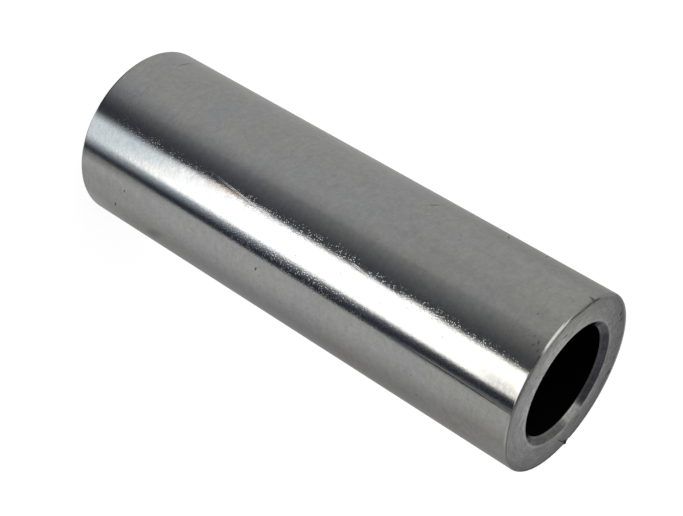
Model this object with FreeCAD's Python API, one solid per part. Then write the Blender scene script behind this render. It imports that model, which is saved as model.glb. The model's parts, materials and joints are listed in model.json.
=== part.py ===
import FreeCAD, Part
import math
import os

# Gudgeon pin in millimetres: one hollow steel pin, the same at both ends.
# It stands on its lower end face, with its axis on +Z and the origin at that face's centre.

# Driving dimensions
PIN_DIAMETER = 32.0         # ground outside, which runs in the rod's bush and the piston's bosses
PIN_LENGTH = 94.5           # from end face to end face
BORE_DIAMETER = 20.0        # straight hole through the whole pin
MOUTH_CHAMFER = 1.0         # leg of the 45 degree chamfer at each mouth of the bore
EDGE_LENGTH = 0.4           # how far the rounded outer edge reaches along the axis
EDGE_TURN = 64.0            # degrees that the rounded edge turns before it meets the end face

# Sizes that follow from them
PIN_RADIUS = PIN_DIAMETER / 2
BORE_RADIUS = BORE_DIAMETER / 2
MOUTH_RADIUS = BORE_RADIUS + MOUTH_CHAMFER
EDGE_RADIUS = EDGE_LENGTH / math.sin(math.radians(EDGE_TURN))


def point(radius, height):
    """A point of the half section, which lies in the XZ plane."""
    return FreeCAD.Vector(radius, 0, height)


def edge_point(face_height, inward, turn):
    """A point of the rounded outer edge: no turn is on the ground wall, and the full turn is on the end face."""
    drop = EDGE_RADIUS * (1 - math.cos(math.radians(turn)))
    rise = EDGE_LENGTH - EDGE_RADIUS * math.sin(math.radians(turn))
    return point(PIN_RADIUS - drop, face_height + inward * rise)


def end_profile(face_height, inward):
    """One end from the bore's wall to the outer wall: mouth chamfer, flat end face and rounded edge."""
    chamfer_foot = point(BORE_RADIUS, face_height + inward * MOUTH_CHAMFER)
    mouth = point(MOUTH_RADIUS, face_height)
    rim, middle, wall = (edge_point(face_height, inward, turn) for turn in (EDGE_TURN, EDGE_TURN / 2, 0))
    chamfer = Part.LineSegment(chamfer_foot, mouth).toShape()
    face = Part.LineSegment(mouth, rim).toShape()
    edge = Part.Arc(rim, middle, wall).toShape()
    return chamfer_foot, wall, [chamfer, face, edge]


def gudgeon_pin():
    """The pin turned about its axis from its half section."""
    lower_foot, lower_wall, lower_end = end_profile(0.0, 1)
    upper_foot, upper_wall, upper_end = end_profile(PIN_LENGTH, -1)
    bore_wall = Part.LineSegment(lower_foot, upper_foot).toShape()
    outer_wall = Part.LineSegment(lower_wall, upper_wall).toShape()
    edges = lower_end + upper_end + [bore_wall, outer_wall]
    section = Part.Face(Part.Wire(Part.__sortEdges__(edges)))
    return section.revolve(FreeCAD.Vector(0, 0, 0), FreeCAD.Vector(0, 0, 1), 360)


def main():
    os.makedirs("parts", exist_ok=True)
    pin = gudgeon_pin()
    pin.exportStep("parts/gudgeon_pin.step")
    print("gudgeon_pin", pin.ShapeType, "valid", pin.isValid(), "volume", round(pin.Volume, 1))


main()
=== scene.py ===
import json
import math
from collections import namedtuple

import bpy
import numpy as np
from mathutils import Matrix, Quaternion, Vector


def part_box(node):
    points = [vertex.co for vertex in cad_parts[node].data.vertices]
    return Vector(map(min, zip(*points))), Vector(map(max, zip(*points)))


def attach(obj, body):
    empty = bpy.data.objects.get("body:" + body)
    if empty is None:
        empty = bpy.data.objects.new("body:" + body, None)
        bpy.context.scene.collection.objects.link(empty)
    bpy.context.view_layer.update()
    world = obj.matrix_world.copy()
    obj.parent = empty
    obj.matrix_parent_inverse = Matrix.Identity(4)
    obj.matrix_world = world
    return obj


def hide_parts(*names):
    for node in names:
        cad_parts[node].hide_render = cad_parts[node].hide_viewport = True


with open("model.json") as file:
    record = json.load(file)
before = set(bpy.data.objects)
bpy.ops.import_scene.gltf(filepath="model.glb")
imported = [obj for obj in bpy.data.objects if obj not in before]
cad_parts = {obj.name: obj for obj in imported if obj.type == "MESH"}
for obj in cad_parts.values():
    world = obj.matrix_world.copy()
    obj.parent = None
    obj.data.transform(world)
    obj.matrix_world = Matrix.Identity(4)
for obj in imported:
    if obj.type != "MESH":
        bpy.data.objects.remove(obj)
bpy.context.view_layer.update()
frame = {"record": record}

bl_info = {
    "name": "Gudgeon pin",
    "version": (1, 0, 0),
    "blender": (4, 5, 0),
    "location": "View3D > Sidebar > Gudgeon pin",
    "description": "A hollow ground steel gudgeon pin, with its finishes and a plain pale studio",
    "category": "Object",
}

# The pin's sizes in metres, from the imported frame
MM = 0.001
NODE = "gudgeon_pin"
BODY = "root"
LOW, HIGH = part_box(NODE)
MOUNTS = {mount["name"]: mount["dims"] for mount in frame["record"]["mounts"]}
LENGTH = HIGH.z - LOW.z
RADIUS = MOUNTS["outer_wall"]["r_mm"] * MM
BORE = MOUNTS["bore"]["r_mm"] * MM
EDGE = (LENGTH - MOUNTS["outer_wall"]["length_mm"] * MM) / 2
CHAMFER = (LENGTH - MOUNTS["bore"]["length_mm"] * MM) / 2
EDGE_TURN = 64.0            # degrees that the rounded outer edge turns before it meets the end face
FACE_MIDDLE = 14 * MM       # radius at which the marks of the end face are unrolled

# The finishes, in the order of the pin's material slots
GROUND, FACED, MOUTH, BLACK = range(4)

# Points of the half section: on a rounded corner, on the rounded outer edge, and inside each straight stretch
CORNER_POINTS = 6
EDGE_POINTS = 14
CHAMFER_FILL = 4
FACE_FILL = 14
WALL_FILL = 56
BORE_FILL = 14

# A small mark on the pin: its azimuth in degrees, its place along the wall or its radius on the end face,
# half its length and width, all in mm, and its turn from the circumference in degrees. The azimuth counts
# from the camera's side, -Y, towards +X.
Mark = namedtuple("Mark", "azimuth along reach width turn")
# A dent or a raised burr at the near rim: its azimuth, its half width and its height in mm, in when negative
RimMark = namedtuple("RimMark", "azimuth width height")
RIM_MARK_IN = 0.15 * MM     # how far a rim mark's middle lies inside the wall
RIM_MARK_DOWN = 0.10 * MM   # how far it lies below the end face
RIM_MARK_SPREAD = 1.5       # its half width across the rim, as a multiple of the one round it

# Depths in mm of the marks on the ground wall
PIT_DEPTH = 0.03
SCRATCH_DEPTH = 0.008
LINE_DEPTH = 0.006
# Depths in mm of the marks on the end faces, of the speckle there and in the mouths, and of the bore's rings
SPOT_DEPTH = 0.01
FACE_SCRATCH_DEPTH = 0.02
SPECKLE_DEPTH = 0.004
DRILL_DEPTH = 0.01

# On the ground wall
PITS = [
    Mark(39.2, 42.5, 0.32, 0.16, -10),
    Mark(42.4, 11.2, 0.28, 0.13, -25),
    Mark(59.1, 8.4, 0.75, 0.15, -28),
    Mark(-71.0, 75.4, 0.80, 0.13, 30),
    Mark(-75.2, 82.2, 1.10, 0.09, 16),
]
FAINT_PITS = [
    Mark(-24.7, 90.0, 0.24, 0.10, -30),
    Mark(45.2, 75.8, 0.20, 0.10, 0),
    Mark(59.0, 77.0, 0.34, 0.11, -10),
    Mark(12.5, 58.3, 0.16, 0.12, 0),
    Mark(15.2, 66.8, 0.14, 0.10, 0),
    Mark(9.8, 71.5, 0.16, 0.10, 20),
    Mark(17.2, 49.4, 0.14, 0.12, 0),
    Mark(13.4, 79.0, 0.15, 0.10, -20),
    Mark(-10.9, 92.9, 0.30, 0.16, 20),
    Mark(-8.4, 92.4, 0.24, 0.14, -30),
    Mark(-6.9, 93.5, 0.26, 0.14, 0),
    Mark(-13.0, 91.8, 0.20, 0.12, 10),
]
SCRATCHES = [
    Mark(-59.0, 62.7, 1.00, 0.15, -24),
    Mark(-60.5, 5.6, 1.70, 0.12, 0),
    Mark(-53.9, 94.25, 0.50, 0.25, 72),
    Mark(-78.5, 67.0, 1.60, 0.08, 14),
    Mark(30.1, 85.2, 8.5, 0.10, 88.6),
]
STAINS = [
    Mark(64.2, 84.5, 3.6, 3.0, 25),
    Mark(57.0, 89.5, 2.6, 1.2, 60),
    Mark(70.0, 64.0, 2.6, 2.4, 60),
    Mark(4.6, 33.5, 0.8, 6.0, 0),
]
SMEARS = [
    Mark(67.2, 17.2, 2.4, 0.9, -52),
    Mark(20.3, 91.8, 3.8, 1.1, 84),
]
LINES = [
    Mark(2.6, 33.5, 6.0, 0.05, 84),
    Mark(3.5, 34.0, 5.4, 0.05, 84),
    Mark(1.6, 31.0, 3.6, 0.05, 82),
    Mark(4.2, 60.3, 0.9, 0.05, 84),
    Mark(5.2, 60.9, 0.8, 0.05, 84),
    Mark(-8.4, 5.6, 0.9, 0.05, 20),
    Mark(-3.2, 11.0, 0.5, 0.06, 50),
    Mark(-1.6, 7.0, 0.9, 0.05, 75),
]
RUST = [
    Mark(5.4, 31.4, 4.4, 0.36, 93),
    Mark(70.0, 60.0, 2.6, 0.5, -10),
]
YELLOWED = [
    Mark(17.6, 92.6, 1.4, 0.7, 30),
    Mark(20.4, 91.0, 1.0, 0.5, 60),
    Mark(12.0, 93.0, 1.6, 0.6, 70),
]
# Painted highlight: a lighter band on the near rounded edge, on the +X front
RIM_HIGHLIGHT = [
    Mark(45.0, 94.4, 5.2, 0.32, 0),
]
BLUED = [
    Mark(-38.6, 20.9, 2.2, 1.3, 0),
    Mark(-76.0, 24.0, 3.0, 2.0, 0),
    Mark(-4.0, 2.0, 1.6, 1.2, 0),
]
FROST = [
    Mark(0.6, 50.9, 4.0, 1.1, 90),
    Mark(1.6, 56.2, 2.0, 1.0, 90),
    Mark(-2.2, 55.7, 0.5, 0.4, 90),
    Mark(0.6, 59.4, 1.2, 0.8, 90),
    Mark(3.3, 64.8, 2.0, 0.8, 90),
    Mark(3.5, 73.4, 3.2, 0.8, 90),
    Mark(2.8, 37.6, 3.0, 0.9, 90),
    Mark(0.8, 90.2, 0.5, 0.4, 0),
]
WAVES = [
    Mark(1.7, 73.6, 3.2, 0.9, 90),
    Mark(6.3, 67.0, 1.8, 0.9, 90),
    Mark(3.4, 31.0, 3.6, 0.9, 90),
    Mark(1.6, 38.8, 2.2, 0.9, 90),
    Mark(6.0, 19.0, 5.0, 1.0, 90),
]
FAINT_FROST = [
    Mark(1.6, 44.0, 16.0, 1.5, 90),
    Mark(2.0, 76.0, 18.0, 1.4, 90),
    Mark(1.0, 17.0, 13.0, 1.2, 90),
    Mark(25.4, 50.0, 17.0, 1.5, 90),
    Mark(-6.5, 7.5, 4.4, 1.6, 60),
    Mark(-9.0, 89.0, 3.0, 2.0, 0),
]

# On the near end face and its rim
FACE_SPOTS = [
    Mark(-27.2, 13.0, 0.62, 0.19, 8),
    Mark(7.4, 13.3, 0.32, 0.10, 50),
    Mark(-113.9, 14.4, 0.50, 0.27, 50),
    Mark(-107.5, 14.5, 0.47, 0.29, 30),
    Mark(-100.3, 11.5, 0.40, 0.12, 70),
    Mark(-159.6, 14.6, 0.70, 0.24, 39),
]
# Darker along the rim at the back left, over the rim's highlight
FACE_DARKER_RIM = [
    Mark(146.0, 15.66, 5.2, 0.36, 0),
]
# Scratches, and a painted shadow line along the rim beside the nick: the two long marks at about -39 and -49
# degrees
FACE_SCRATCHES_AND_SHADOW_LINES = [
    Mark(-38.8, 15.38, 1.8, 0.23, 11),
    Mark(-48.6, 15.30, 2.0, 0.27, -7),
    Mark(-55.4, 15.60, 0.60, 0.32, 70),
    Mark(-59.4, 15.48, 0.50, 0.23, -8),
    Mark(147.0, 15.3, 0.85, 0.30, 60),
    Mark(-22.0, 15.36, 3.4, 0.09, 0),
    Mark(143.0, 14.2, 1.9, 0.10, 50),
]
FACE_SCRAPES = [
    Mark(-91.0, 12.5, 1.2, 0.12, -51),
    Mark(-100.0, 13.6, 1.3, 0.09, -56),
    Mark(-113.0, 12.6, 1.0, 0.11, 76),
    Mark(-108.0, 13.2, 1.4, 0.08, 70),
    Mark(-121.0, 13.0, 1.5, 0.10, 74),
    Mark(-133.0, 13.4, 1.3, 0.09, 70),
    Mark(-112.0, 15.18, 8.4, 0.18, 0),
    Mark(-21.0, 15.32, 4.0, 0.22, 0),
    Mark(14.0, 13.0, 1.0, 0.5, 0),
    Mark(102.0, 15.0, 5.2, 0.10, -3),
    Mark(98.0, 15.35, 3.0, 0.07, 4),
]
FACE_RUBS = [
    Mark(-94.0, 13.3, 1.7, 0.10, -52),
    Mark(-103.0, 13.0, 1.5, 0.09, -58),
    Mark(-109.0, 12.4, 0.9, 0.10, 72),
    Mark(-117.0, 13.1, 1.8, 0.10, 72),
    Mark(-128.0, 13.4, 1.5, 0.09, 68),
    Mark(-143.0, 13.2, 1.5, 0.09, 66),
    Mark(46.0, 15.62, 4.8, 0.34, 0),
    Mark(-71.0, 15.72, 2.8, 0.22, 0),
    Mark(36.0, 13.6, 1.5, 0.08, 50),
    Mark(45.0, 13.2, 1.8, 0.09, 56),
    Mark(54.0, 13.8, 1.3, 0.08, 60),
    Mark(-52.0, 14.6, 1.6, 0.07, 10),
    Mark(-20.0, 12.8, 2.6, 0.06, 5),
    Mark(-6.0, 13.0, 1.5, 0.6, 0),
]
# Polished patches at the rim: a lower roughness, and a painted highlight in their lighter colour
FACE_POLISH_HIGHLIGHTS = [
    Mark(-142.0, 15.56, 9.6, 0.28, 0),
    Mark(-20.0, 15.64, 4.0, 0.22, 0),
]
RIM_MARKS = [
    RimMark(-57.0, 0.28, -0.05),
    RimMark(147.4, 0.28, 0.24),
    RimMark(151.0, 0.20, -0.12),
]


# Surfaces

def arc(centre, reach, first, last, count):
    """Points of an arc in the half section: the centre plus the reach times (cos, sin) of the normal's
    angle."""
    angles = np.radians(np.linspace(first, last, count))
    return np.array(centre) + reach * np.stack([np.cos(angles), np.sin(angles)], axis=1)


def corner_arc(corner, first, last, reach):
    """The arc that rounds a convex corner between two straight stretches, whose normals point at the angles
    first and last. Its centre lies behind the corner by the reach times (n1 + n2) / (1 + n1.n2)."""
    turns = np.radians([first, last])
    normals = np.stack([np.cos(turns), np.sin(turns)], axis=1)
    centre = np.array(corner) - reach * normals.sum(axis=0) / (1 + normals[0] @ normals[1])
    return arc(centre, reach, first, last, CORNER_POINTS)


def edge_arcs(rim):
    """The rounded outer edge: an arc tangent to the wall, of the radius that turns by EDGE_TURN over EDGE,
    after the small arc of radius rim that joins it to the end face and touches both from inside."""
    reach = EDGE / math.sin(math.radians(EDGE_TURN))
    centre = (RADIUS - reach, LENGTH - EDGE)
    up = EDGE - rim
    out = math.sqrt((reach - rim) ** 2 - up ** 2)
    meeting = math.degrees(math.atan2(up, out))
    small = arc((centre[0] + out, centre[1] + up), rim, 90, meeting, CORNER_POINTS)
    return small, arc(centre, reach, meeting, 0, EDGE_POINTS)[1:]


def gathered(start, end, count):
    """Points between two ends, the ends left out, spaced by a half cosine wave so that they gather at
    both."""
    share = (1 - np.cos(np.linspace(0, math.pi, count + 2)[1:-1])) / 2
    return np.outer(1 - share, start) + np.outer(share, end)


def half_section(arris, rim):
    """The closed outline of the pin's wall as (radius, height) rows, and the finish of each step along it:
    the upper end from the bore to the outer wall, the same end mirrored below, and the straight stretches
    between. The corners are rounded by arris at the mouth and by rim at the outer edge."""
    def below(curve):
        """A curve of the upper end at the lower one: height h goes to LENGTH - h, in the other order."""
        return (curve * (1, -1) + (0, LENGTH))[::-1]

    foot = corner_arc((BORE, LENGTH - CHAMFER), 180, 135, arris)
    mouth = corner_arc((BORE + CHAMFER, LENGTH), 135, 90, arris)
    small, edge = edge_arcs(rim)
    # Each curve, its finish, and the fill and finish of the straight stretch after it
    strokes = [
        (foot, FACED, CHAMFER_FILL, MOUTH),
        (mouth, FACED, FACE_FILL, FACED),
        (small, FACED, 0, GROUND),
        (edge, GROUND, WALL_FILL, GROUND),
        (below(edge), GROUND, 0, GROUND),
        (below(small), FACED, FACE_FILL, FACED),
        (below(mouth), FACED, CHAMFER_FILL, MOUTH),
        (below(foot), FACED, BORE_FILL, BLACK),
    ]
    points, finishes = [], []
    for index, (curve, finish, fill, after) in enumerate(strokes):
        following = strokes[(index + 1) % len(strokes)][0]
        points += [curve, gathered(curve[-1], following[0], fill)]
        finishes += [finish] * (len(curve) - 1) + [after] * (fill + 1)
    return np.concatenate(points), np.array(finishes)


def rim_relief(azimuths, section):
    """How far each point of the near rim stands out, in metres: for each mark its height times the Gaussian
    of the way round the rim over its width, times the Gaussian of the distance from the mark's middle over
    its width times RIM_MARK_SPREAD."""
    relief = np.zeros((len(section), len(azimuths)))
    middle = np.array([RADIUS - RIM_MARK_IN, LENGTH - RIM_MARK_DOWN])
    away = np.linalg.norm(section - middle, axis=1)
    for mark in RIM_MARKS:
        turn = np.angle(np.exp(1j * (azimuths - math.radians(mark.azimuth))))
        around = np.exp(-(RADIUS * turn / (mark.width * MM)) ** 2)
        across = np.exp(-(away / (RIM_MARK_SPREAD * mark.width * MM)) ** 2)
        relief += mark.height * MM * np.outer(across, around)
    return relief


def pin_surface(arris, rim, sides):
    """The half section carried round the axis: x = r sin(a), y = -r cos(a), z = h, with the rim's relief
    added along (cos 45, sin 45) of the section. Returns the points, the quads and the finish of each quad."""
    section, finishes = half_section(arris, rim)
    azimuths = np.linspace(-math.pi, math.pi, sides, endpoint=False)
    relief = rim_relief(azimuths, section) * math.cos(math.radians(45))
    radius = section[:, :1] + relief
    height = section[:, 1:] + relief
    grid = np.stack([radius * np.sin(azimuths), -radius * np.cos(azimuths), height], axis=2)
    rings = len(section)
    ring, side = np.meshgrid(np.arange(rings), np.arange(sides), indexing="ij")
    next_ring, next_side = (ring + 1) % rings, (side + 1) % sides
    corners = [(ring, side), (next_ring, side), (next_ring, next_side), (ring, next_side)]
    quads = np.stack([a * sides + b for a, b in corners], axis=2).reshape(-1, 4)
    return grid.reshape(-1, 3), quads, np.repeat(finishes, sides)


def make_piece(name, points, quads, finishes, materials):
    """One smooth mesh object at the origin, from arrays of points, quads and material indices."""
    mesh = bpy.data.meshes.new(name)
    mesh.vertices.add(len(points))
    mesh.vertices.foreach_set("co", points.ravel())
    mesh.loops.add(quads.size)
    mesh.loops.foreach_set("vertex_index", quads.ravel())
    mesh.polygons.add(len(quads))
    mesh.polygons.foreach_set("loop_start", np.arange(0, quads.size, 4))
    for material in materials:
        mesh.materials.append(material)
    mesh.polygons.foreach_set("material_index", finishes)
    mesh.polygons.foreach_set("use_smooth", np.ones(len(quads), bool))
    mesh.update(calc_edges=True)
    mesh.validate()
    piece = bpy.data.objects.new(name, mesh)
    bpy.context.scene.collection.objects.link(piece)
    return piece


# Shader expressions

class Number:
    """A number in a node tree. Each operator adds one Math node and returns its result."""

    def __init__(self, graph, socket):
        self.graph = graph
        self.socket = socket

    def math(self, operation, first, second=0.0):
        return self.graph.number("ShaderNodeMath", {"operation": operation}, {0: first, 1: second})

    def __add__(self, other):
        return self.math("ADD", self, other)

    def __sub__(self, other):
        return self.math("SUBTRACT", self, other)

    def __rsub__(self, other):
        return self.math("SUBTRACT", other, self)

    def __mul__(self, other):
        return self.math("MULTIPLY", self, other)

    def __truediv__(self, other):
        return self.math("DIVIDE", self, other)

    def __neg__(self):
        return self.math("MULTIPLY", self, -1.0)

    def __abs__(self):
        return self.math("ABSOLUTE", self)

    def __or__(self, other):
        return self.math("MAXIMUM", self, other)

    __radd__ = __add__
    __rmul__ = __mul__


class Graph:
    """The node tree of a material or of the world."""

    def __init__(self, owner):
        owner.use_nodes = True
        self.tree = owner.node_tree
        self.tree.nodes.clear()

    def node(self, kind, settings, sockets):
        """Adds a node. Its settings come first, then its sockets get values or links."""
        made = self.tree.nodes.new(kind)
        for name, value in settings.items():
            setattr(made, name, value)
        for key, value in sockets.items():
            value = value.socket if isinstance(value, Number) else value
            if isinstance(value, bpy.types.NodeSocket):
                self.tree.links.new(value, made.inputs[key])
            else:
                made.inputs[key].default_value = value
        return made

    def number(self, kind, settings, sockets, output=0):
        return Number(self, self.node(kind, settings, sockets).outputs[output])

    def smooth(self, value, start, end):
        """0 before start, 1 after end, and a smooth step between; start may be the larger."""
        return self.number(
            "ShaderNodeMapRange",
            {"interpolation_type": "SMOOTHSTEP"},
            {"Value": value, "From Min": start, "From Max": end},
        )

    def split(self, vector):
        parts = self.node("ShaderNodeSeparateXYZ", {}, {0: vector}).outputs
        return [Number(self, part) for part in parts]

    def vector(self, x, y, z):
        return self.node("ShaderNodeCombineXYZ", {}, {0: x, 1: y, 2: z}).outputs[0]

    def vector_math(self, operation, *values, output=0):
        sockets = dict(enumerate(values))
        return self.node("ShaderNodeVectorMath", {"operation": operation}, sockets).outputs[output]

    def mix(self, share, low, high):
        """A colour between low and high."""
        sockets = {"Factor": share, 6: low, 7: high}
        return self.node("ShaderNodeMix", {"data_type": "RGBA"}, sockets).outputs[2]

    def noise(self, vector, detail=0.0, roughness=0.5):
        sockets = {"Vector": vector, "Scale": 1.0, "Detail": detail, "Roughness": roughness}
        return self.number("ShaderNodeTexNoise", {}, sockets)

    def dots(self, vector, border):
        """Round dots, 1 in their middle and 0 from the border on: a smooth step of the distance to the
        nearest of the scattered points, one in each cell of the vector."""
        distance = self.number("ShaderNodeTexVoronoi", {}, {"Vector": vector, "Scale": 1.0})
        return self.smooth(distance, border, 0.0)

    def coated(self, tone, coats):
        """The tone under coats that are laid on in turn, each given as its share and its colour."""
        for share, colour in coats:
            tone = self.mix(share, tone, colour)
        return tone

    def tinted(self, tone, tint):
        """The tone times the tint, colour by colour."""
        return self.vector_math("MULTIPLY", tone, tint)

    def millimetres(self):
        """The parts of the point on the piece, in mm."""
        place = self.node("ShaderNodeTexCoord", {}, {}).outputs["Object"]
        sockets = {0: place, "Scale": 1 / MM}
        return self.split(self.node("ShaderNodeVectorMath", {"operation": "SCALE"}, sockets).outputs[0])

    def azimuth(self, x, y):
        """The angle in radians from -Y, the camera's side, towards +X."""
        return self.number("ShaderNodeMath", {"operation": "ARCTAN2"}, {0: x, 1: -y})

    def ring(self, x, y):
        """The distance from the axis, and the unit vector that points away from it."""
        flat = self.vector(x, y, 0.0)
        radius = Number(self, self.vector_math("LENGTH", flat, output="Value"))
        return radius, self.split(self.vector_math("NORMALIZE", flat))[:2]

    def spot(self, place, mark_at, reach, width, turn, softness):
        """1 inside an ellipse of the plane that place runs over, 0 outside, with a soft border. The ellipse
        is the unit circle of two numbers, the way along it and across it, each over its half width. Both are
        dot products, which can shift as well as turn because place's third part is 1."""
        def measured(right, up, half):
            weights = (right / half, up / half, -(right * mark_at[0] + up * mark_at[1]) / half)
            return Number(self, self.vector_math("DOT_PRODUCT", place, weights, output="Value"))

        right, up = math.cos(math.radians(turn)), math.sin(math.radians(turn))
        along, across = measured(right, up, reach), measured(-up, right, width)
        length = self.number("ShaderNodeMath", {"operation": "SQRT"}, {0: along * along + across * across})
        return self.smooth(length, 1 + softness, 1 - softness)

    def bump(self, height):
        """The normal over a relief given in mm."""
        return self.node("ShaderNodeBump", {}, {"Height": height, "Distance": MM, "Strength": 1.0}).outputs[0]

    def surface(self, sockets):
        shader = self.node("ShaderNodeBsdfPrincipled", {}, sockets)
        self.node("ShaderNodeOutputMaterial", {}, {"Surface": shader.outputs[0]})


def grey(value, warmth=0.0):
    """A neutral tone, a little warmer or cooler by warmth."""
    return (value * (1 + warmth), value, value * (1 - warmth), 1.0)


# Finishes

def largest(numbers):
    """The largest of several numbers at each point."""
    total = numbers[0]
    for number in numbers[1:]:
        total = total | number
    return total


def marked(graph, azimuth, along, radius, marks, softness):
    """1 inside any of the marks and 0 outside, on the surface unrolled at the given radius in mm."""
    unrolled = graph.vector(azimuth * radius, along, 1.0)
    spots = []
    for mark in marks:
        at = (math.radians(mark.azimuth) * radius, mark.along)
        spots.append(graph.spot(unrolled, at, mark.reach, mark.width, mark.turn, softness))
    return largest(spots)


def ground_steel(looks):
    """The cylindrical wall: ground and lapped, with a faint lay, frosted patches, low waves, pits, scratches,
    smears and old stains, and a painted highlight on the near rounded edge."""
    material = bpy.data.materials.new("ground_steel")
    graph = Graph(material)
    x, y, z = graph.millimetres()
    azimuth = graph.azimuth(x, y)

    def cells(across, along, detail=0.0):
        """Noise with cells of the given widths in mm, across and along the axis."""
        return graph.noise(graph.vector(x / across, y / across, z / along), detail)

    def marks(kind, softness):
        """1 inside the wall's marks of one kind, with borders of the given softness."""
        return marked(graph, azimuth, z, RADIUS / MM, kind, softness)

    lay, streaks, hatch = cells(2.6, 0.3, 2.0), cells(7.0, 0.9, 2.0), cells(0.25, 1.3, 1.0)
    grain, mottle = cells(0.55, 0.55, 1.0), cells(1.3, 1.1, 2.0)
    cloud, tint = cells(4.0, 5.0, 3.0), cells(9.0, 12.0, 2.0)
    specks = graph.smooth(cells(0.5, 0.45), 0.74, 0.82)
    dusted = graph.smooth(z, 20.0, 40.0) * graph.smooth(z, 80.0, 64.0)
    dusting = graph.smooth(cells(6.0, 8.0, 2.0), 0.46, 0.64) * dusted * 0.25
    dots = graph.dots(graph.vector(x / 0.32, y / 0.32, z / 0.32), 0.44)
    dots = dots * graph.smooth(cells(0.9, 0.9), 0.22, 0.5)
    frosting = dots * (dusting | marks(FROST, 0.9) | marks(FAINT_FROST, 1.0) * 0.55)
    pits, faint_pits = marks(PITS, 0.5), marks(FAINT_PITS, 0.7)
    scratches, lines = marks(SCRATCHES, 0.5), marks(LINES, 0.9)
    smears = marks(SMEARS, 0.9) * graph.smooth(grain, 0.0, 0.6)
    stains = marks(STAINS, 1.0) * graph.smooth(cells(1.6, 1.2, 2.0), 0.35, 0.65)
    rust = marks(RUST, 1.0) * graph.smooth(cells(1.0, 1.6, 2.0), 0.25, 0.55)
    blued, yellowed, rim_highlight = marks(BLUED, 1.0), marks(YELLOWED, 1.0), marks(RIM_HIGHLIGHT, 0.5)

    share = lay * 0.32 + streaks * 0.3 + mottle * 0.85 + grain * 0.7 + cloud * 0.3 - 0.74
    tone = graph.mix(share, looks.steel_shade, looks.steel_light)
    handled = graph.smooth(z + tint * 20.0, 84.0, 104.0)
    hue = graph.mix(graph.smooth(tint, 0.3, 0.7), looks.cool, looks.warm)
    hue = graph.mix(handled, hue, looks.handled_colour)
    tone = graph.coated(graph.tinted(tone, hue), [
        (stains * looks.stain, looks.stain_colour),
        (rust * (0.6 * looks.stain), looks.rust_colour),
        (blued * (0.6 * looks.stain), looks.blued_colour),
        (yellowed * looks.stain, looks.yellowed_colour),
        # painted highlight on the near rounded edge
        (rim_highlight * 0.45, grey(0.90)),
        (smears * 0.6, grey(0.20)),
        (specks * 0.15 + faint_pits * 0.6, grey(0.16)),
        (scratches * 0.75, grey(0.10)),
        (pits * 0.75, grey(0.04)),
    ])
    relief = hatch * looks.hatch_depth + lay * looks.lay_depth + grain * looks.grain_depth
    relief = relief + frosting * looks.frosting_depth + marks(WAVES, 1.0) * looks.wave_height
    relief = relief - pits * PIT_DEPTH - scratches * SCRATCH_DEPTH - lines * LINE_DEPTH
    graph.surface({
        "Base Color": tone,
        "Metallic": 1.0,
        "Roughness": looks.ground_roughness + cloud * 0.02 + stains * 0.08 + pits * 0.3,
        "Normal": graph.bump(relief),
    })
    return material


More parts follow.
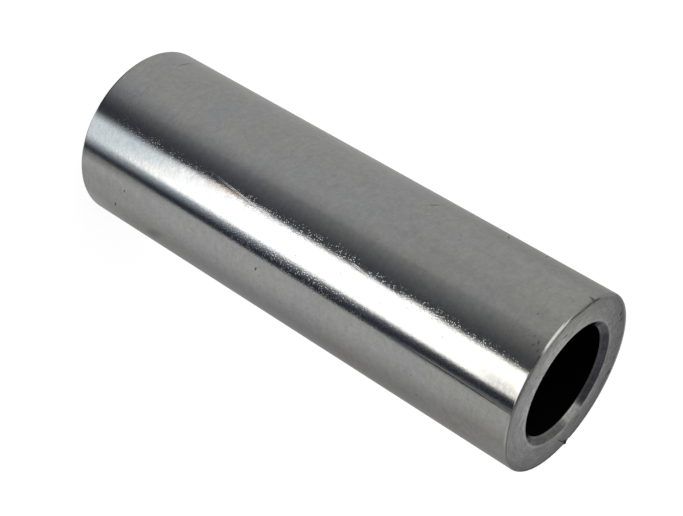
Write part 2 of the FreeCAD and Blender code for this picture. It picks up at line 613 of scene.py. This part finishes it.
def faced_steel(looks):
    """The flat end faces: turned and a little dished, streaked and mottled, with a patch of dried oil.
    Painted shade darkens them towards the rim and the sides, inside the rim at the back and at the mouth's
    edge; a painted highlight rings the mouth and lies on polished patches of the rim. The near one also has
    spots, rubs, scrapes and scratches, a painted shadow line along the rim beside the nick, and is darker
    along the rim at the back left."""
    material = bpy.data.materials.new("faced_steel")
    graph = Graph(material)
    x, y, z = graph.millimetres()
    azimuth = graph.azimuth(x, y)
    radius, (ring_x, ring_y) = graph.ring(x, y)
    rings = graph.noise(graph.vector(ring_x * 3.0, ring_y * 3.0, radius / 0.16), detail=2.0)
    streaks = graph.noise(graph.vector(ring_x * 7.0, ring_y * 7.0, radius / 0.45), detail=2.0)
    mottle = graph.noise(graph.vector(x / 2.2, y / 2.2, z), detail=4.0)
    speckle = graph.noise(graph.vector(x / 0.5, y / 0.5, z), detail=2.0)
    tint = graph.noise(graph.vector(x / 4.5, y / 4.5, z), detail=2.0)
    near = graph.smooth(z, 0.6 * LENGTH / MM, 0.7 * LENGTH / MM)

    def marks(kind, softness):
        """1 inside the near face's marks of one kind, with borders of the given softness."""
        return marked(graph, azimuth, radius, FACE_MIDDLE / MM, kind, softness) * near

    spots, scratches = marks(FACE_SPOTS, 0.5), marks(FACE_SCRATCHES_AND_SHADOW_LINES, 0.5)
    rubs, scrapes = marks(FACE_RUBS, 0.9), marks(FACE_SCRAPES, 0.8)
    polish_highlights, dull = marks(FACE_POLISH_HIGHLIGHTS, 0.6), marks(FACE_DARKER_RIM, 0.6)
    outer, mouth = RADIUS / MM, (BORE + CHAMFER) / MM
    # Painted shade: the end face darkens towards its rim
    shaded = graph.smooth(radius + mottle * 1.6, BORE / MM + 1.6, outer + 0.8)
    # Painted shade: a dark band just inside the rim on the back half of the end face, lifted where the rim's
    # painted highlight lies
    arris = graph.smooth(radius + mottle * 0.2, outer - 0.75, outer - 0.35) * graph.smooth(y, -4.0, 8.0)
    arris = arris * (1 - polish_highlights)
    # Painted highlight: a light ring on the face round the mouth; painted shade: a dark ring at the mouth's
    # very edge
    lip_highlight, crease_shade = graph.smooth(radius, mouth + 0.65, mouth + 0.4), graph.smooth(radius, mouth + 0.28, mouth)
    # Painted shade: darker towards both sides, and towards a third direction, about 60 degrees from +X to +Y
    third = x * 0.5 + y * 0.87
    sides = graph.smooth(abs(x), 5.0, 12.0) * 0.35 | graph.smooth(third, 9.5, 13.0) * 0.3
    oiled = graph.smooth(-x, -2.0, 3.0) * graph.smooth(-y, 4.0, 9.0) * graph.smooth(radius, 11.5, 15.0)

    share = mottle * 0.6 + speckle * 0.45 + streaks * 0.4 - 0.2
    tone = graph.mix(share, looks.face_shade, looks.face_light)
    # Painted shade towards the rim
    tone = graph.mix(shaded * 0.8, tone, looks.face_shaded)
    tone = graph.tinted(tone, graph.mix(graph.smooth(tint, 0.35, 0.65), looks.cool, grey(1.0)))
    texture = streaks * 1.05 + speckle * 0.75 + mottle * 0.85 - 0.33
    tone = graph.tinted(tone, graph.vector(texture, texture, texture))
    # Painted shade at the sides
    tone = graph.mix(sides, tone, looks.face_shaded)
    tone = graph.tinted(tone, graph.mix(oiled, grey(1.0), looks.face_oiled))
    tone = graph.coated(tone, [
        # painted highlight round the mouth
        (lip_highlight * 0.25, grey(0.95)),
        # painted shade at the mouth's edge
        (crease_shade * 0.6, grey(0.10)),
        # rubs, and the painted highlight on the polished patches of the rim
        (rubs * 0.3 | polish_highlights * 0.75, grey(0.85)),
        # scrapes, and the rim darker at the back left
        (scrapes * 0.3 | dull * 0.65, grey(0.08)),
        (spots * 0.85, grey(0.06)),
        # painted shade inside the rim at the back
        (arris * 0.6, grey(0.08)),
        # scratches, and the painted shadow line beside the nick
        (scratches * 0.9, grey(0.04)),
    ])
    turned = graph.smooth(radius, outer - 0.9, outer - 0.2) * looks.rim_fall
    relief = rings * looks.ring_depth + speckle * SPECKLE_DEPTH + radius * looks.dish - turned
    relief = relief - spots * SPOT_DEPTH - scratches * FACE_SCRATCH_DEPTH
    graph.surface({
        "Base Color": tone,
        "Metallic": 1.0,
        "Roughness": looks.face_roughness + mottle * 0.08 - polish_highlights * 0.15,
        "Normal": graph.bump(relief),
    })
    return material


def mouth_steel(looks):
    """The bore's 45 degree mouth: turned, darker than the end face, with a painted highlight line near its
    foot, and a painted reflection colour: a blue tint on the -X side and a warm one on the +X side."""
    material = bpy.data.materials.new("mouth_steel")
    graph = Graph(material)
    x, y, z = graph.millimetres()
    radius, (ring_x, ring_y) = graph.ring(x, y)
    rings = graph.noise(graph.vector(ring_x * 4.0, ring_y * 4.0, z / 0.14), detail=1.0)
    streaks = graph.noise(graph.vector(ring_x * 9.0, ring_y * 9.0, z / 0.30), detail=2.0)
    speckle = graph.noise(graph.vector(x / 0.7, y / 0.7, z / 0.7), detail=2.0)
    chatter = graph.noise(graph.vector(ring_x * 24.0, ring_y * 24.0, z / 6.0), detail=1.0)
    share = graph.smooth(streaks * 0.35 + speckle * 0.25 + chatter * 0.4, 0.38, 0.62)
    # Painted highlight: a light line near the mouth's foot
    foot = graph.smooth(abs(radius - (BORE / MM + 0.17)), 0.12, 0.02)
    tone = graph.mix(share, looks.mouth_shade, looks.mouth_light)
    # Painted reflection colour: a cool tint on the -X side and a warm one on the +X side
    tone = graph.tinted(tone, graph.mix(graph.smooth(x, -4.0, 4.0), looks.mouth_reflection_tint, looks.warm))
    graph.surface({
        # painted highlight near the foot
        "Base Color": graph.mix(foot * 0.4, tone, grey(0.45)),
        "Metallic": 1.0,
        "Roughness": looks.mouth_roughness + speckle * 0.04,
        "Normal": graph.bump(rings * (0.5 * looks.ring_depth) + speckle * SPECKLE_DEPTH),
    })
    return material


def black_bore(looks):
    """The bore's wall, black and dull, with faint rings from the drill."""
    material = bpy.data.materials.new("black_bore")
    graph = Graph(material)
    x, y, z = graph.millimetres()
    rings = graph.noise(graph.vector(x / 8.0, y / 8.0, z / 0.5), detail=2.0)
    blotches = graph.noise(graph.vector(x / 3.3, y / 3.3, z / 5.0), detail=3.0)
    graph.surface({
        "Base Color": graph.mix(blotches, grey(0.001), looks.bore_colour),
        "Metallic": 0.0,
        "Specular IOR Level": 0.03,
        "Roughness": 0.55 + blotches * 0.2,
        "Normal": graph.bump(rings * DRILL_DEPTH),
    })
    return material


# The studio

# A card of the studio: its tone, its first and last azimuth, its lower and upper elevation, the half widths
# of its soft borders in the same order, the turn of its two sides in degrees of azimuth for a degree of
# elevation, the rise of its lower and upper borders in degrees of elevation for a degree of azimuth, and how
# much it covers. Azimuths count from the camera's side, -Y, towards +X.
CARD_PARTS = "tone azimuths elevations borders slants rise cover"
Card = namedtuple("Card", CARD_PARTS, defaults=((0.0, 0.0), 0.0, 1.0))
DOWN, UP = -91, 91          # a card without a lower or an upper border ends past the pole
SLANTS_HOLD = -30           # elevation at which a slanted card has its own azimuths


class Studio:
    """The world as cards on a sphere round the pin, all angles in degrees."""

    def __init__(self, world, room):
        self.graph = Graph(world)
        direction = self.graph.node("ShaderNodeTexCoord", {}, {}).outputs["Generated"]
        x, y, z = self.graph.split(direction)
        number = self.graph.number
        self.azimuth = number("ShaderNodeMath", {"operation": "ARCTAN2"}, {0: x, 1: -y}) * math.degrees(1)
        self.elevation = number("ShaderNodeMath", {"operation": "ARCSINE"}, {0: z}) * math.degrees(1)
        self.colour = room

    def shown(self, card):
        """1 on a card and 0 off it, with its soft borders. A slanted card's azimuths hold at SLANTS_HOLD, and
        a rising card's elevations at its first azimuth."""
        def step(angle, at, half):
            return self.graph.smooth(angle, at - half, at + half)

        def straightened(slant):
            return self.azimuth - (self.elevation - SLANTS_HOLD) * slant if slant else self.azimuth

        (first, last), (low, high) = card.azimuths, card.elevations
        elevation = self.elevation
        if card.rise:
            elevation = elevation - (self.azimuth - first) * card.rise
        after_first = step(straightened(card.slants[0]), first, card.borders[0])
        after_last = step(straightened(card.slants[1]), last, card.borders[1])
        shown = after_first * (1 - after_last)
        if low > DOWN:
            shown = shown * step(elevation, low, card.borders[2])
        if high < UP:
            shown = shown * (1 - step(elevation, high, card.borders[3]))
        return shown * card.cover

    def lay(self, card):
        self.colour = self.graph.mix(self.shown(card), self.colour, card.tone)

    def finish(self, backdrop, behind):
        """The camera sees the plain backdrop. So does the metal where the backdrop is behind the pin, and
        elsewhere it sees the cards."""
        graph = self.graph
        path = graph.node("ShaderNodeLightPath", {}, {}).outputs
        mirrored = Number(graph, path["Is Glossy Ray"]) | Number(graph, path["Is Transmission Ray"])
        plain = Number(graph, path["Is Camera Ray"]) | mirrored * behind
        seen = graph.mix(plain, self.colour, backdrop)
        background = graph.node("ShaderNodeBackground", {}, {"Color": seen, "Strength": 1.0})
        graph.node("ShaderNodeOutputWorld", {}, {"Surface": background.outputs[0]})


def light_studio(stage):
    """The cards that the pin mirrors, from the plain room to the lamps, each over those before it."""
    world = bpy.data.worlds.new("studio")
    bpy.context.scene.world = world
    studio = Studio(world, tuple(stage.room))
    flag, dark = tuple(stage.flag), tuple(stage.dark)
    strip, lamp = tuple(stage.strip), tuple(stage.lamp)
    cards = [
        # Walls of the room, on the +X side and then on the -X side
        Card(grey(0.285), (62, 176), (DOWN, UP), (1, 8, 1, 1)),
        Card(grey(0.50), (45, 106), (DOWN, -13), (1, 26, 1, 16), slants=(0.0, -0.8)),
        Card(grey(0.405), (84, 118), (DOWN, -35.8), (8, 8, 1, 1.8)),
        Card(grey(0.49), (126, 176), (DOWN, -36.8), (12, 6, 1, 1.6)),
        Card(grey(0.325), (108, 134), (-23, -12), (8, 8, 1.5, 6)),
        Card(grey(0.262), (126, 158), (-30, -23.5), (8, 8, 2, 1.5)),
        Card(grey(0.37), (-62, -36), (-27, -12), (8, 10, 3, 6)),
        Card(grey(0.34), (-172, -122), (-26, 20), (8, 14, 4, 6)),
        Card(grey(0.32, -0.02), (-176, -92), (6, UP), (8, 14, 6, 1)),
        Card(grey(0.41), (-140, -98), (27, 52), (8, 8, 6, 6)),
        # The room from about the horizon up
        Card(grey(0.16, -0.02), (15, 66), (24, UP), (8, 6, 8, 1)),
        Card(grey(0.20, -0.02), (66, 166), (20, UP), (6, 8, 8, 1)),
        Card(grey(0.40), (72, 108), (-12, 32), (8, 10, 8, 8)),
        Card(grey(0.15), (42, 66), (-3, 34), (4, 4, 3, 8)),
        Card(grey(0.125), (-44, 30), (50, UP), (3, 8, 5, 1)),
        Card(grey(0.17), (152, 181), (26, 76), (6, 1, 6, 6)),
        Card(grey(0.17), (-181, -152), (26, 76), (1, 6, 6, 6)),
        # Cloths on both sides of the strip lamp, and the light and dark hems at their +X edge
        Card(flag, (-19.3, 62.8), (DOWN, 0), (28, 1.1, 1, 8), slants=(0.22, 0.0)),
        Card(dark, (-10, 10), (DOWN, -34.5), (9, 6, 1, 3), cover=0.4),
        Card(dark, (-46, 6), (DOWN, -38.5), (10, 6, 1, 0.5), cover=0.35),
        Card(flag, (-25.6, 62.6), (DOWN, -8), (2.2, 0.7, 1, 6), slants=(-0.705, -0.705), cover=0.22),
        Card(flag, (-13, 9), (-10, 45), (3, 5, 3, 8)),
        Card(dark, (44, 62.2), (DOWN, -8), (2, 0.8, 1, 6)),
        Card(grey(0.20, -0.04), (58.6, 61.2), (-25, -8), (0.7, 0.6, 1.5, 6)),
        Card(grey(0.09, -0.08), (61.4, 64.4), (-25, -8), (0.6, 1.2, 1.5, 6)),
        Card(grey(0.18), (60, 71), (DOWN, -35.8), (1.6, 5, 1, 2.0), cover=0.6),
        # The strip lamp over its foot, the soft lamp in its four parts, and the dark floor
        Card(tuple(stage.strip_foot), (14.0, 46.5), (DOWN, -28), (7.7, 10.6, 1, 8), slants=(0.0, -0.2)),
        Card(strip, (11.2, 44.7), (-33.9, 4), (3.4, 3.0, 0.8, 5), slants=(0.24, 0.18), rise=-0.085),
        Card(lamp, (-55.5, -21.5), (-2, 64), (2, 2, 4, 3)),
        Card(lamp, (-88, -41), (43, 80), (15, 1.5, 6, 3)),
        Card(lamp, (-163, -41), (58, 78), (6, 1.5, 3, 3)),
        Card(lamp, (-206, -286), (45, 63), (2, 3, 3, 3), slants=(0.39, 1.6)),
        Card(grey(0.027, -0.1), (-181, 9), (DOWN, -53), (1, 4, 1, 7)),
    ]
    for card in cards:
        studio.lay(card)
    white = tuple(stage.backdrop)
    backdrops = [
        Card(white, (171, 200), (-14, 8), (5, 1, 4, 8)),
        Card(white, (-200, -171), (-14, 8), (1, 5, 4, 8)),
    ]
    for card in backdrops:
        studio.lay(card)
    studio.finish(white, largest([studio.shown(card) for card in backdrops]))


def pale_floor(stage):
    """The floor's material: matt and pale. To the camera it also glows, so that it reads as white paper with
    a soft shadow."""
    material = bpy.data.materials.new("pale_floor")
    graph = Graph(material)
    matt = graph.node("ShaderNodeBsdfDiffuse", {}, {"Color": grey(stage.floor_tone)}).outputs[0]
    shadow = graph.node("ShaderNodeBsdfDiffuse", {}, {"Color": grey(stage.shadow_strength)}).outputs[0]
    glow = graph.node("ShaderNodeEmission", {}, {"Color": grey(1.0), "Strength": stage.floor_glow}).outputs[0]
    seen = graph.node("ShaderNodeAddShader", {}, {0: shadow, 1: glow}).outputs[0]
    path = graph.node("ShaderNodeLightPath", {}, {}).outputs
    mixed = graph.node("ShaderNodeMixShader", {}, {0: path["Is Camera Ray"], 1: matt, 2: seen})
    graph.node("ShaderNodeOutputMaterial", {}, {"Surface": mixed.outputs[0]})
    return material


def lay_floor(stage):
    """A level square under the pin. The polished wall mirrors the studio's cards and not the floor."""
    half = stage.floor_size / 2
    square = [(-half, -half), (half, -half), (half, half), (-half, half)]
    corners = np.array([(x, y, LOW.z) for x, y in square])
    floor = make_piece("floor", corners, np.array([[0, 1, 2, 3]]), np.array([0]), [pale_floor(stage)])
    floor.visible_glossy = False
    floor.visible_shadow = False


def place_camera(stage):
    """The camera looks at its aim and is then rolled about the line of sight."""
    camera = bpy.data.cameras.new("camera")
    camera.sensor_width = 36.0
    camera.lens = stage.lens
    seen_by = bpy.data.objects.new("camera", camera)
    bpy.context.scene.collection.objects.link(seen_by)
    place, aim = Vector(stage.camera_place), Vector(stage.camera_aim)
    level = (aim - place).to_track_quat("-Z", "Y")
    seen_by.rotation_mode = "QUATERNION"
    seen_by.location = place
    seen_by.rotation_quaternion = level @ Quaternion((0, 0, 1), stage.camera_roll)
    bpy.context.scene.camera = seen_by


# The add-on's properties, operators and panel

def colour_property(name, description, default):
    """A colour with its alpha, as a property."""
    return bpy.props.FloatVectorProperty(
        name=name, description=description, default=default, size=4, subtype="COLOR", min=0, soft_max=1)


class PinLooks(bpy.types.PropertyGroup):
    """Sizes and colours of the pin's surfaces."""

    arris: bpy.props.FloatProperty(
        name="Arris", description="Radius of the small round at the mouth's corners", default=0.00007,
        unit="LENGTH")
    rim: bpy.props.FloatProperty(
        name="Rim", description="Radius of the small round at the end face's rim", default=0.00018,
        unit="LENGTH")
    sides: bpy.props.IntProperty(
        name="Sides", description="Columns of faces round the pin", default=560)
    steel_light: colour_property("Steel, light", "Ground steel where it is brightest", grey(0.66))
    steel_shade: colour_property("Steel, dark", "Ground steel where it is darkest", grey(0.48))
    warm: colour_property("Warm", "Tint of the warmer patches of steel", (1.0, 1.0, 0.96, 1.0))
    handled_colour: colour_property(
        "Handled", "Tint of the steel near the upper end", (1.0, 0.995, 0.94, 1.0))
    cool: colour_property("Cool", "Tint of the cooler patches of steel", (0.985, 0.99, 1.0, 1.0))
    face_light: colour_property("Face, light", "End face where it is brightest", grey(0.67))
    face_shade: colour_property("Face, dark", "End face where it is darkest", grey(0.46))
    # Painted shade: the darker tone of the end faces towards the rim and at the sides
    face_shaded: colour_property(
        "Face, worn", "End face where it is dull, near its rim and sides", (0.31, 0.31, 0.30, 1.0))
    face_oiled: colour_property(
        "Face, oiled", "Tint of the end faces where oil has dried", (1.0, 0.995, 0.86, 1.0))
    mouth_light: colour_property("Mouth, light", "Bore mouth where it is brightest", grey(0.25))
    mouth_shade: colour_property("Mouth, dark", "Bore mouth where it is darkest", grey(0.165))
    # Painted reflection colour: the cool tint of the mouths on the -X side
    mouth_reflection_tint: colour_property("Mouth, blued", "Tint of the mouths on the -X side", (0.98, 0.97, 1.1, 1.0))
    bore_colour: colour_property("Bore", "Wall of the bore", grey(0.003))
    stain_colour: colour_property("Stain", "Old oil on the ground wall", (0.50, 0.42, 0.36, 1.0))
    rust_colour: colour_property("Rust", "First rust on the ground wall", (0.58, 0.38, 0.24, 1.0))
    blued_colour: colour_property("Blued", "Steel with a faint blue film", (0.48, 0.51, 0.64, 1.0))
    yellowed_colour: colour_property("Yellowed", "Dried oil near the end face", (0.56, 0.54, 0.48, 1.0))
    stain: bpy.props.FloatProperty(
        name="Stains", description="How strongly the stains show", default=0.5,
        subtype="FACTOR", min=0, max=1)
    ground_roughness: bpy.props.FloatProperty(
        name="Ground roughness", description="Of the outer wall", default=0.10,
        subtype="FACTOR", min=0, max=1)
    face_roughness: bpy.props.FloatProperty(
        name="Face roughness", description="Of the end faces", default=0.34,
        subtype="FACTOR", min=0, max=1)
    mouth_roughness: bpy.props.FloatProperty(
        name="Mouth roughness", description="Of the bore's mouths", default=0.14,
        subtype="FACTOR", min=0, max=1)
    hatch_depth: bpy.props.FloatProperty(
        name="Hatch depth", description="Height of the fine lapping marks in mm", default=0.0012)
    lay_depth: bpy.props.FloatProperty(
        name="Lay depth", description="Height of the grinding marks round the pin in mm", default=0.0006)
    grain_depth: bpy.props.FloatProperty(
        name="Grain depth", description="Height of the ground surface's grain in mm", default=0.0035)
    frosting_depth: bpy.props.FloatProperty(
        name="Frosting depth", description="Height of the frosted patches' grains in mm", default=0.019)
    wave_height: bpy.props.FloatProperty(
        name="Wave height", description="Height of the wall's few low waves in mm", default=0.02)
    ring_depth: bpy.props.FloatProperty(
        name="Ring depth", description="Height of the turned rings in mm", default=0.006)
    dish: bpy.props.FloatProperty(
        name="Dish", description="Rise of the end faces towards the rim, in mm for a mm", default=0.10)
    rim_fall: bpy.props.FloatProperty(
        name="Rim fall", description="How far the end faces fall off close to the rim, in mm", default=0.03)


class PinStage(bpy.types.PropertyGroup):
    """The camera, the floor and the cards that light the pin."""

    camera_place: bpy.props.FloatVectorProperty(
        name="Camera", description="Where the camera stands", default=(0.0, -0.244035, 0.18155),
        subtype="XYZ", unit="LENGTH", precision=5)
    camera_aim: bpy.props.FloatVectorProperty(
        name="Aim", description="The point that the camera looks at", default=(0.001365, 0.0, 0.048505),
        subtype="XYZ", unit="LENGTH", precision=5)
    camera_roll: bpy.props.FloatProperty(
        name="Roll", description="Turn about the line of sight", default=math.radians(121.009),
        subtype="ANGLE")
    lens: bpy.props.FloatProperty(
        name="Lens", description="Focal length in mm on a 36 mm wide sensor", default=86.498)
    floor_size: bpy.props.FloatProperty(
        name="Floor", description="Side of the square floor", default=6.0, unit="LENGTH")
    floor_tone: bpy.props.FloatProperty(
        name="Floor tone", description="How much light the floor gives back", default=0.8, subtype="FACTOR")
    shadow_strength: bpy.props.FloatProperty(
        name="Shadow", description="Share of the seen floor that takes light and shadow", default=0.3)
    floor_glow: bpy.props.FloatProperty(
        name="Floor glow", description="What the camera sees of the floor in full shadow", default=0.91)
    backdrop: colour_property("Backdrop", "Paper behind the pin", grey(1.0))
    room: colour_property("Room", "Grey walls on all sides", grey(0.41))
    flag: colour_property("Flag", "Dark cloth on both sides of the strip lamp", (0.058, 0.060, 0.071, 1.0))
    dark: colour_property("Dark", "Black cloth beside the strip lamp and below", (0.021, 0.026, 0.042, 1.0))
    strip: colour_property("Strip lamp", "Long lamp beside the pin", grey(2.0, 0.01))
    strip_foot: colour_property("Strip foot", "Paper below the strip lamp", (0.90, 1.0, 1.08, 1.0))
    lamp: colour_property("Soft lamp", "Square lamp above, on the left", grey(1.15))


class PinSurfaces(bpy.types.Operator):
    """Builds the pin's surfaces and finishes over its solid"""

    bl_idname = "gudgeon.surfaces"
    bl_label = "Pin surfaces"

    def execute(self, context):
        looks = context.scene.pin_looks
        points, quads, finishes = pin_surface(looks.arris, looks.rim, looks.sides)
        makers = {GROUND: ground_steel, FACED: faced_steel, MOUTH: mouth_steel, BLACK: black_bore}
        materials = [makers[finish](looks) for finish in sorted(makers)]
        piece = make_piece("pin", points, quads, finishes, materials)
        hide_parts(NODE)
        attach(piece, BODY)
        return {"FINISHED"}


class PinStudio(bpy.types.Operator):
    """Lays the floor, lights the studio and places the camera"""

    bl_idname = "gudgeon.studio"
    bl_label = "Studio"

    def execute(self, context):
        stage = context.scene.pin_stage
        context.scene.view_settings.view_transform = "Standard"
        lay_floor(stage)
        light_studio(stage)
        place_camera(stage)
        return {"FINISHED"}


class PinPanel(bpy.types.Panel):
    """Lists the pin's operators and properties in the 3D view's sidebar"""

    bl_idname = "VIEW3D_PT_gudgeon_pin"
    bl_label = "Gudgeon pin"
    bl_space_type = "VIEW_3D"
    bl_region_type = "UI"
    bl_category = "Gudgeon pin"

    def draw(self, context):
        for operator, group in ((PinSurfaces, context.scene.pin_looks), (PinStudio, context.scene.pin_stage)):
            self.layout.operator(operator.bl_idname)
            for name in group.__annotations__:
                self.layout.prop(group, name)


CLASSES = (PinLooks, PinStage, PinSurfaces, PinStudio, PinPanel)


def register():
    for made in CLASSES:
        bpy.utils.register_class(made)
    bpy.types.Scene.pin_looks = bpy.props.PointerProperty(type=PinLooks)
    bpy.types.Scene.pin_stage = bpy.props.PointerProperty(type=PinStage)


def unregister():
    del bpy.types.Scene.pin_stage
    del bpy.types.Scene.pin_looks
    for made in reversed(CLASSES):
        bpy.utils.unregister_class(made)


def main():
    register()
    bpy.ops.gudgeon.surfaces()
    bpy.ops.gudgeon.studio()


if __name__ == "__main__":
    main()
